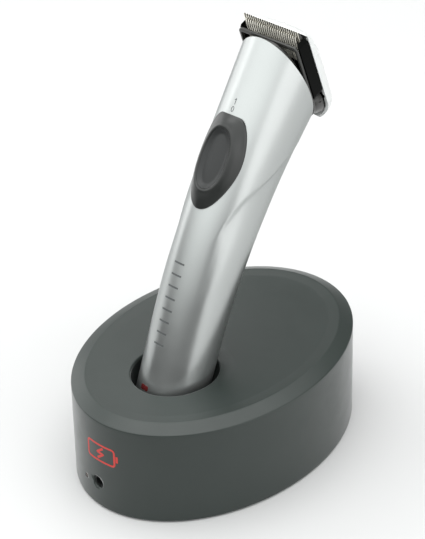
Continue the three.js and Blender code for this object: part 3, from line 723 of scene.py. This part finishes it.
def make_end_cap():
    """Rounded black cap under the sleeve, with a pocket at each charging contact."""
    rows = []
    rounding = 3.6
    steps = 8
    profile = [(-15, 0.0)]
    for k in range(steps + 1):
        angle = math.pi / 2 * k / steps
        profile.append((-rounding * (1 - math.sin(angle)), rounding * (1 - math.cos(angle))))
    profile += [(0, SLEEVE_START - 0.5), (-0.25, SLEEVE_START - 0.25), (-2.2, SLEEVE_START - 0.25)]
    for offset, s in profile:
        rows.append([on_handle(s, angle, offset) for angle in turn(96)])
    end_cap = rows_object("handle_end_cap", rows, 50, cap_first=True, cap_last=True)
    cut(end_cap, contact_holes("end_contact_", 2.5, (-6.0, 1.4), 40))
    dress(end_cap, "black_plastic", "trimmer", "end_cap")


# ------------------------------------------------------------------------ switch

SLIDER_COLUMNS = 120


def bezier(p0, p1, p2, p3, steps):
    """Points on a cubic curve, without its last one."""
    points = []
    for k in range(steps):
        t = k / steps
        r = 1 - t
        points.append(p0 * r ** 3 + p1 * 3 * t * r ** 2 + p2 * 3 * t * t * r + p3 * t ** 3)
    return points


def egg_outline():
    """Right half of the switch's outline, from its top to its bottom."""
    half, top, bottom, flat = (EGG[k] for k in ("half_width", "top", "bottom", "flat"))
    middle = bottom + (top - bottom) * 0.56
    points = [Vector((flat * k / 8, top)) for k in range(8)]
    points += bezier(Vector((flat, top)), Vector((half * 0.8, top - 0.8)),
                     Vector((half, middle + 7)), Vector((half, middle)), 40)
    points += bezier(Vector((half, middle)), Vector((half, middle - 9)),
                     Vector((half * 0.6, bottom)), Vector((0, bottom)), 40)
    points.append(Vector((0, bottom)))
    return points


def reach(outline, angle):
    """Distance from the middle to the outline at an angle measured from the top."""
    target = abs(math.atan2(math.sin(angle), math.cos(angle)))
    for a, b in zip(outline, outline[1:]):
        angle_a = math.atan2(a.x, a.y)
        angle_b = math.atan2(b.x, b.y)
        if angle_a <= target <= angle_b + 1e-9:
            part = (target - angle_a) / max(angle_b - angle_a, 1e-9)
            return a.lerp(b, part).length
    return outline[-1].length


EGG_OUTLINE = egg_outline()


def egg_loop(inset, height):
    """Loop set in from the sliding cap's egg outline, at a height above the paint."""
    row = []
    for angle in turn(SLIDER_COLUMNS):
        distance = reach(EGG_OUTLINE, angle) - inset
        s = SWITCH_MIDDLE + distance * math.cos(angle)
        row.append(over_handle(distance * math.sin(angle), s, height))
    return row


def pad_loop(inset, height):
    """Loop like a rounded rectangle, set in from the thumb pad's outline."""
    row = []
    middle = SWITCH_MIDDLE + (PAD["top"] + PAD["bottom"]) / 2
    half_length = (PAD["top"] - PAD["bottom"]) / 2
    for angle in turn(SLIDER_COLUMNS):
        across, along = (math.copysign(abs(part) ** PAD["squareness"], part)
                         for part in (math.sin(angle), math.cos(angle)))
        row.append(over_handle((PAD["half_width"] - inset) * across,
                               middle + (half_length - inset) * along, height))
    return row


def make_switch():
    """Sliding cap with a soft raised ring, and the dished thumb pad inside the ring."""
    ring = ((-1.6, 2.75), (-1.2, 2.96), (-0.8, 3.0), (-0.4, 2.86), (-0.15, 2.62), (-0.05, 2.4),
            (-0.05, 1.2))
    rim = egg_loop(0.35, 1.15)
    rows = [egg_loop(0.1, 0.45), egg_loop(0.0, 0.7), egg_loop(0.1, 0.95), rim]
    steps = 9
    for k in range(1, steps):
        share = k / steps
        swell = 0.3 * math.sin(math.pi * share)
        lifted = pad_loop(ring[0][0], ring[0][1] + swell)
        rows.append([a.lerp(b, share) for a, b in zip(rim, lifted)])
    rows += [pad_loop(*place) for place in ring]
    rows += between(rows[-1], rows[0], 5)
    slider = rows_object("slide_switch_cap", rows, 60, closed_stack=True)
    dress(slider, "switch_plastic", "switch", "switch_slider")

    underside = 0.5
    edge = 2.45
    dish_depth = 1.5
    slope_width = 2.3
    innermost = PAD["half_width"] - 0.4
    steps = 6
    rows = [pad_loop(innermost * (1 - k / steps), underside) for k in range(steps + 1)]
    rows.append(pad_loop(0.0, edge))
    steps = 20
    for k in range(1, steps):
        inset = innermost * k / steps
        rows.append(pad_loop(inset, edge - dish_depth * smooth_step(-0.4, slope_width, inset)))
    pad = rows_object("switch_thumb_pad", rows, 60, cap_last=True, cap_first=True)
    dress(pad, "pad_rubber", "switch", "thumb_pad")


# -------------------------------------------------------------------------- head

ALONG_HEAD = Vector((0, -math.sin(HEAD_LEAN), math.cos(HEAD_LEAN)))
OUT_OF_BACK = Vector((0, math.cos(HEAD_LEAN), math.sin(HEAD_LEAN)))


def at_head(x, depth, height):
    """Point in the head's own frame: depth out of its back, height along the teeth."""
    return HEAD_ORIGIN + Vector((x, 0, 0)) + OUT_OF_BACK * depth + ALONG_HEAD * height


def head_loop(half_x, z_range, corner, depth, low_corner):
    """Corner-rounded loop parallel to the head's back, at a depth."""
    outline = rounded_box_rows(half_x, z_range, corner, 10, low_corner)
    return [at_head(x, depth, z) for x, z in outline]


def plate_rows(half_x, z_range, corner, depths, low_corner, opening=None):
    """Rows of a plate with rounded edges; with an opening it is a closed ring."""
    edge = 0.3
    z0, z1 = z_range
    y0, y1 = depths
    rows = []
    for inset, depth in ((edge, y0), (edge * 0.3, y0 + edge * 0.3), (0, y0 + edge),
                         (0, y1 - edge), (edge * 0.3, y1 - edge * 0.3), (edge, y1)):
        rows.append(head_loop(half_x - inset, (z0 + inset, z1 - inset), corner, depth, low_corner))
    if opening:
        inner_x, inner_z, inner_corner, inner_low = opening
        for depth in (y1, y0 + 0.3):
            rows.append(head_loop(inner_x, inner_z, inner_corner, depth, inner_low))
        inner_z = (inner_z[0] - 0.2, inner_z[1] + 0.2)
        rows.append(head_loop(inner_x + 0.2, inner_z, inner_corner, y0, inner_low))
    return rows


def make_neck():
    """Core that enters the sleeve, the lip round the head and the hinge block below."""
    bm = bmesh.new()
    lip = plate_rows(HEAD_HALF_WIDTH - 0.3, (4, LIP_TOP), 2.0, (0.0, 1.3), 12,
                     (14.5, (9, LIP_TOP - 2.0), 1.2, 10))
    add_rows(bm, lip, closed_stack=True)
    core = [core_loop(shrink, depth) for shrink, depth in
            ((2.1, -6.5), (2.1, -1.6), (2.4, -0.6), (3.4, 0.3), (6.2, 0.3), (6.2, -6.5))]
    add_rows(bm, core, closed_stack=True)
    hinge = [head_loop(half, (low, high), 3, depth, corner) for half, low, high, depth, corner in (
        (14.2, 5.0, CARRIER_BOTTOM - 1.2, 0.9, 11.5), (14.9, 4.6, CARRIER_BOTTOM - 0.6, 1.5, 11.5),
        (15.3, 3.6, CARRIER_BOTTOM - 0.4, 3.4, 11), (15.3, 2.4, CARRIER_BOTTOM - 0.4, 5.4, 10.5),
        (15.0, 1.4, CARRIER_BOTTOM - 0.6, 6.8, 10), (14.2, 1.6, CARRIER_BOTTOM - 1.4, 7.5, 9))]
    add_rows(bm, hinge, cap_first=True, cap_last=True)
    neck = new_object("neck_frame", bm, 40)
    dress(neck, "neck_plastic", "trimmer", "head_neck")


def core_loop(shrink, depth):
    """Section of the handle's form, shrunk, on a plane parallel to the head."""
    row = []
    for angle in turn(72):
        low, high = 80.0, 204.0
        for _ in range(26):
            middle = (low + high) / 2
            if (on_handle(middle, angle, -shrink) - HEAD_ORIGIN).dot(OUT_OF_BACK) > depth:
                high = middle
            else:
                low = middle
        point = on_handle(low, angle, -shrink)
        height = (point - HEAD_ORIGIN).dot(ALONG_HEAD)
        if height > LIP_TOP - 0.5:
            point += ALONG_HEAD * (LIP_TOP - 0.5 - height)
        row.append(point)
    return row


def head_prism(bm, outline, depths):
    """Closed prism over an outline of (x, height) points, between two depths."""
    front, back = ([bm.verts.new(at_head(x, depth, z)) for x, z in outline] for depth in depths)
    bm.faces.new(front)
    bm.faces.new(back[::-1])
    for i in range(len(outline)):
        j = (i + 1) % len(outline)
        bm.faces.new((front[i], back[i], back[j], front[j]))


def make_carrier():
    """Gloss black frame of the blade set: side walls, floor, back, hinge tongue and hooks."""
    corner = 2.4
    count = 10
    outer = rounded_box_rows(HEAD_HALF_WIDTH, (CARRIER_BOTTOM, CARRIER_TOP), corner, count)
    corners = count + 1
    right_arc = [p for p in outer[:corners] if p[0] > BAY_HALF_WIDTH]
    left_arc = [p for p in outer[corners:2 * corners] if p[0] < -BAY_HALF_WIDTH]
    bay_floor = CARRIER_BOTTOM + 1.3
    bay = [(BAY_HALF_WIDTH, CARRIER_TOP), (BAY_HALF_WIDTH, bay_floor),
           (-BAY_HALF_WIDTH, bay_floor), (-BAY_HALF_WIDTH, CARRIER_TOP)]
    bm = bmesh.new()
    head_prism(bm, [*right_arc, *bay, *left_arc, *outer[2 * corners:]], (1.6, 6.7))
    back = rounded_box_rows(HEAD_HALF_WIDTH, (CARRIER_BOTTOM, CARRIER_BACK_TOP), corner)
    head_prism(bm, back, (6.71, 7.6))
    tongue = plate_rows(13.8, (1.6, CARRIER_BOTTOM + 4), 3.4, (7.8, 9.1), 8)
    add_rows(bm, tongue, cap_first=True, cap_last=True)
    for side in (-1, 1):
        hook = [(side * x, z) for x, z in ((13.6, 12.4), (15.2, 12.9), (15.5, 14.2), (13.6, 15.4))]
        head_prism(bm, hook, (7.8, 9.7))
    carrier = new_object("blade_set_frame", bm, 40)
    bevel(carrier, 0.3, 50)
    dress(carrier, "gloss_black", "blade_set", "blade_carrier")


def cover_half_width(z):
    """The cover narrows towards its rounded lower end."""
    share = min(max((z - COVER_BOTTOM) / 13, 0), 1)
    return 8 + (HEAD_HALF_WIDTH - 8) * math.sin(share * math.pi / 2) ** 0.8


def cover_bulge(z):
    """Height of the dome over its base; it runs out at both ends."""
    top = min(max((COVER_TOP - z) / 20, 0), 1)
    bottom = min(max((z - COVER_BOTTOM) / 9, 0), 1)
    return COVER_BULGE * math.sqrt(1 - (1 - top) ** 2) * math.sqrt(1 - (1 - bottom) ** 2)


def make_back_cover():
    """White back of the blade set: a thin dome, open towards the blades."""
    across = 40
    steps = 56
    squareness = 0.82

    def arch(z, inset):
        row = []
        half = cover_half_width(z) - inset
        high = max(cover_bulge(z) - inset, 0.35)
        for i in range(across + 1):
            angle = math.pi * i / across
            wide = math.copysign(abs(math.cos(angle)) ** squareness, math.cos(angle))
            depth = COVER_BASE + high * max(math.sin(angle), 0) ** squareness
            row.append(at_head(wide * half, depth, z))
        return row

    def place(k, low, high):
        return low + (high - low) * (1 - math.cos(math.pi * k / steps)) / 2

    rows = []
    for k in range(steps + 1):
        z = place(k, COVER_BOTTOM, COVER_TOP)
        outer = arch(z, 0)
        inner = arch(place(k, COVER_BOTTOM + COVER_WALL, COVER_TOP - COVER_WALL), COVER_WALL)
        rows.append(outer + inner[::-1])
    cover = rows_object("white_back_cover", rows, 50)
    bm = bmesh.new()
    bm.from_mesh(cover.data)
    bm.verts.ensure_lookup_table()
    width = 2 * (across + 1)
    for start in (0, steps * width):
        for i in range(across):
            a, b = start + i, start + i + 1
            c, d = start + width - 2 - i, start + width - 1 - i
            bm.faces.new((bm.verts[a], bm.verts[b], bm.verts[c], bm.verts[d]))
    bmesh.ops.recalc_face_normals(bm, faces=bm.faces)
    bm.to_mesh(cover.data)
    bm.free()
    cover.data.shade_smooth()
    cover.data.set_sharp_from_angle(angle=math.radians(50))
    dress(cover, "white_plastic", "blade_set", "back_cover")


def add_block(bm, corners_low, corners_high):
    """Closed block between two four-cornered ends, given as head-frame points."""
    low = [bm.verts.new(at_head(*c)) for c in corners_low]
    high = [bm.verts.new(at_head(*c)) for c in corners_high]
    bm.faces.new(low[::-1])
    bm.faces.new(high)
    for i in range(4):
        j = (i + 1) % 4
        bm.faces.new((low[i], low[j], high[j], high[i]))


def rectangle(x0, x1, y0, y1, z):
    """Corners of a rectangle at one height, as (x, depth, height)."""
    return ((x0, y0, z), (x1, y0, z), (x1, y1, z), (x0, y1, z))


def add_teeth(bm, half_x, count, share, sections):
    """A row of tapering teeth. Each section is (height, front, back, width share)."""
    pitch = 2 * half_x / count
    for i in range(count):
        middle = -half_x + pitch * (i + 0.5)
        for low, high in zip(sections, sections[1:]):
            ends = []
            for z, front, back, width in (low, high):
                half = pitch * share * width / 2
                ends.append(rectangle(middle - half, middle + half, front, back, z))
            add_block(bm, *ends)


def make_blades():
    """Two toothed steel plates; the moving one lies in front of the fixed comb."""
    bm = bmesh.new()
    half = COMB_TEETH * TOOTH_PITCH / 2
    front, back, foot, root = 4.4, 6.4, 36, 47.4
    add_block(bm, rectangle(-half, half, front, back, foot), rectangle(-half, half, front, back, root))
    add_teeth(bm, half, COMB_TEETH, 0.56, (
        (root - 0.05, front, 6.35, 1.0), (50.4, front, 6.0, 1.0), (52.6, front, 5.4, 0.9),
        (53.5, 4.42, 5.0, 0.62), (53.8, 4.45, 4.75, 0.34)))
    comb = new_object("comb_fixed_blade", bm, 20)
    dress(comb, "blade_steel", "blade_set", "comb_blade")

    bm = bmesh.new()
    half = CUTTER_TEETH * TOOTH_PITCH / 2
    front, back, foot, root = 3.2, 4.1, 38, 45.2
    add_block(bm, rectangle(-half, half, front, back, foot), rectangle(-half, half, front, back, root))
    add_teeth(bm, half, CUTTER_TEETH, 0.62, (
        (root - 0.05, front, back, 1.0), (48.6, front, back, 1.0), (50.6, 3.4, back, 0.95),
        (51.4, 3.65, back, 0.7), (51.6, 3.8, 4.05, 0.4)))
    cutter = new_object("cutter_moving_blade", bm, 20)
    dress(cutter, "blade_steel", "cutter", "cutter_blade")


# ------------------------------------------------------------------------- marks


def ribbon(name, paths, width, height, on_surface, material, body, closed=False):
    """Thin printed lines: each path is a list of flat points laid on a surface."""
    bm = bmesh.new()
    for path in paths:
        points = [Vector(p) for p in path]
        count = len(points)
        left, right = [], []
        for i, point in enumerate(points):
            before = points[(i - 1) % count] if closed or i > 0 else point
            after = points[(i + 1) % count] if closed or i < count - 1 else point
            ahead = (after - before).normalized()
            side = Vector((-ahead.y, ahead.x)) * width / 2
            left.append(point + side)
            right.append(point - side)
        quads = count if closed else count - 1
        top, base = ([(bm.verts.new(on_surface(a, level)), bm.verts.new(on_surface(b, level)))
                      for a, b in zip(left, right)] for level in (height, 0.004))
        for i in range(quads):
            j = (i + 1) % count
            bm.faces.new((top[i][0], top[j][0], top[j][1], top[i][1]))
            bm.faces.new((base[i][1], base[j][1], base[j][0], base[i][0]))
            bm.faces.new((top[i][0], base[i][0], base[j][0], top[j][0]))
            bm.faces.new((top[j][1], base[j][1], base[i][1], top[i][1]))
        if not closed:
            for i in (0, count - 1):
                bm.faces.new((top[i][0], top[i][1], base[i][1], base[i][0]))
    made = new_object(name, bm, 40)
    made.data.materials.append(material)
    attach(made, body)


def on_front(point, height):
    """Point over the handle's front, from a flat point of distance across and along."""
    return over_handle(point.x, point.y, height)


def dense(path, step):
    """Splits a path's straight stretches so that it follows a curved surface."""
    result = []
    for a, b in zip(path, path[1:]):
        a, b = Vector(a), Vector(b)
        count = max(int((b - a).length / step), 1)
        result += [a.lerp(b, k / count) for k in range(count)]
    result.append(Vector(path[-1]))
    return result


def make_marks():
    """The switch's 1 and 0, and a plain scale of bars in place of lettering."""
    one = dense(((-1.35, 146.0), (-0.65, 146.9), (-0.65, 144.3)), 0.3)
    ribbon("mark_one", [one], 0.32, 0.03, on_front, MARK_INK, "trimmer")
    zero = [Vector((0.6 * math.sin(a) - 0.8, 142.3 + 1.05 * math.cos(a))) for a in turn(24)]
    ribbon("mark_zero", [zero], 0.3, 0.03, on_front, MARK_INK, "trimmer", True)

    bars = []
    for k in range(8):
        s = 42.5 + 5.0 * k
        bars.append(dense(((-3.9, s), (1.7, s)), 0.4))
    ribbon("scale_bars", bars, 0.75, 0.03, on_front, MARK_INK, "trimmer")


def on_wall(point, height):
    """Point on the stand's front wall, by distance across and height."""
    x = point.x
    y = -HALF_LENGTH * math.sqrt(1 - (x / HALF_WIDTH) ** 2)
    outward = Vector((x / HALF_WIDTH ** 2, y / HALF_LENGTH ** 2, 0)).normalized()
    return Vector((x, y, point.y)) + outward * height


def make_charge_symbol():
    """Generic red charging symbol: a cell outline with a bolt in it."""
    middle_x, middle_z = -1.2, 29.6
    half_x, half_z = 7.6, 4.2
    outline = rounded_box_rows(half_x, (-half_z, half_z), 1.4, 6)
    cell = [Vector((middle_x + x, middle_z + z)) for x, z in outline]
    dense_cell = dense(cell + [cell[0]], 0.6)[:-1]
    ribbon("charge_symbol_cell", [dense_cell], 0.9, 0.04, on_wall, RED_INK, "stand", True)
    nub_x = middle_x + half_x + 1.2
    nub = dense(((nub_x, middle_z - 1.6), (nub_x, middle_z + 1.6)), 0.5)
    bolt = dense(((middle_x + 1.6, middle_z + 2.9), (middle_x - 1.8, middle_z + 0.1),
                  (middle_x + 1.8, middle_z - 0.1), (middle_x - 1.6, middle_z - 2.9)), 0.5)
    ribbon("charge_symbol_bolt", [nub, bolt], 1.1, 0.04, on_wall, RED_INK, "stand")


def make_indicator():
    """Red window low on the handle's front, just above the socket's mouth."""
    rows = []
    for grow, height in ((0.0, -1.0), (0.0, 0.06), (-0.25, 0.14)):
        row = []
        for x, z in rounded_box_rows(2.3 + grow, (-1.2 - grow, 1.2 + grow), 0.8, 6):
            row.append(over_handle(-3.4 + x, 21.9 + z, height))
        rows.append(row)
    window = rows_object("charge_indicator", rows, 60, cap_first=True, cap_last=True)
    dress(window, "red_lens", "trimmer", "indicator_light")


# ----------------------------------------------------------- camera, light, floor

def make_camera():
    """Long lens looking down at the object from its front right."""
    azimuth, elevation, roll = math.radians(42), math.radians(33), math.radians(-1.47)
    distance = 1008
    target = Vector((0, 0.2, 85.8))
    right = Vector((math.cos(azimuth), math.sin(azimuth), 0))
    up = Vector((-math.sin(azimuth) * math.sin(elevation), math.cos(azimuth) * math.sin(elevation),
                 math.cos(elevation)))
    back = Vector((math.sin(azimuth) * math.cos(elevation), -math.cos(azimuth) * math.cos(elevation),
                   math.sin(elevation)))
    turned_right = right * math.cos(roll) + up * math.sin(roll)
    turned_up = up * math.cos(roll) - right * math.sin(roll)
    camera = bpy.data.objects.new("camera", bpy.data.cameras.new("camera"))
    bpy.context.scene.collection.objects.link(camera)
    camera.data.lens = 158.0
    camera.data.sensor_width = 36.0
    camera.data.clip_start = 0.05
    camera.data.clip_end = 50
    rotation = Matrix((turned_right, turned_up, back)).transposed()
    camera.matrix_world = Matrix.Translation((target + back * distance) * MM) @ rotation.to_4x4()
    bpy.context.scene.camera = camera


def area_light(name, azimuth, elevation, distance, size, watts):
    """Soft box aimed at the object's middle; azimuth as for the camera."""
    light = bpy.data.lights.new(name, "AREA")
    light.shape = "RECTANGLE"
    light.size, light.size_y = size
    light.energy = watts
    made = bpy.data.objects.new(name, light)
    bpy.context.scene.collection.objects.link(made)
    a, e = math.radians(azimuth), math.radians(elevation)
    back = Vector((math.sin(a) * math.cos(e), -math.cos(a) * math.cos(e), math.sin(e)))
    made.location = Vector((0, 0, 0.09)) + back * distance
    made.rotation_mode = "QUATERNION"
    made.rotation_quaternion = (-back).to_track_quat("-Z", "Y")


def make_world():
    """Studio surroundings: dim at the horizon, bright above the front, much dimmer behind."""
    world = bpy.data.worlds.new("studio")
    bpy.context.scene.world = world
    world.use_nodes = True
    tree = world.node_tree
    axes = axes_of(tree, "Generated")
    upward = map_range(tree, axes["Z"], (-0.02, 0.5), (0.2, 1.95), smooth=True)
    backward = map_range(tree, axes["Y"], (-0.5, 0.6), (1.0, 0.12), smooth=True)
    background = tree.nodes["Background"]
    background.inputs["Color"].default_value = (0.97, 0.99, 0.985, 1)
    tree.links.new(maths(tree, "MULTIPLY", upward, backward), background.inputs["Strength"])
    camera_ray = tree.nodes.new("ShaderNodeLightPath").outputs["Is Camera Ray"]
    usual = background.outputs["Background"]
    show_instead(tree, "ShaderNodeBackground", camera_ray, usual, "World Output")


def make_floor():
    """Pale floor; the camera sees it run out into the backdrop 0.3 to 0.9 m from the middle."""
    bm = bmesh.new()
    bmesh.ops.create_circle(bm, cap_ends=True, segments=96, radius=3000)
    floor = new_object("floor", bm)
    material = Shader("pale_floor", (0.56, 0.56, 0.56), 0.7)
    material.vary_colour(material.noise(300, 2), 0.004)
    tree = material.tree
    distance = tree.nodes.new("ShaderNodeVectorMath")
    distance.operation = "LENGTH"
    tree.links.new(material.place, distance.inputs[0])
    fade = map_range(tree, distance.outputs["Value"], (0.3, 0.9), (0.0, 1.0), smooth=True)
    camera_ray = tree.nodes.new("ShaderNodeLightPath").outputs["Is Camera Ray"]
    share = maths(tree, "MULTIPLY", fade, camera_ray)
    usual = material.shader.outputs["BSDF"]
    show_instead(tree, "ShaderNodeEmission", share, usual, "Material Output")
    floor.data.materials.append(material.material)


def make_flag():
    """Dark card round the front that only shows as a reflection in glossy finishes."""
    radius = 230
    height = 108
    first, last = -47, 63
    steps = 12
    bm = bmesh.new()
    low = []
    for k in range(steps + 1):
        azimuth = math.radians(first + (last - first) * k / steps)
        low.append(bm.verts.new((radius * math.sin(azimuth), -radius * math.cos(azimuth), 0)))
    high = [bm.verts.new(v.co + Vector((0, 0, height))) for v in low]
    for i in range(steps):
        bm.faces.new((low[i], low[i + 1], high[i + 1], high[i]))
    flag = new_object("studio_flag", bm)
    material = Shader("flag_cloth", (0.03, 0.03, 0.03), 0.9)
    material.bump(material.noise(1.5, 2), 0.1)
    flag.data.materials.append(material.material)
    flag.visible_camera = False
    flag.visible_diffuse = False
    flag.visible_shadow = False


make_camera()
make_world()
make_floor()
make_flag()
area_light("right_box", azimuth=98, elevation=10, distance=1.0, size=(1.0, 0.9), watts=4.5)
area_light("side_box", azimuth=-88, elevation=16, distance=1.0, size=(0.8, 0.8), watts=3.4)
area_light("top_box", azimuth=180, elevation=78, distance=1.1, size=(1.4, 1.3), watts=12.0)
area_light("left_box", azimuth=-125.6, elevation=26.6, distance=0.2725, size=(0.14, 0.2), watts=0.07)

finish_cad_nodes()
make_stand()
make_well()
make_sleeve()
make_end_cap()
make_switch()
make_neck()
make_carrier()
make_back_cover()
make_blades()
make_marks()
make_charge_symbol()
make_indicator()

bpy.context.scene.view_settings.view_transform = "Standard"
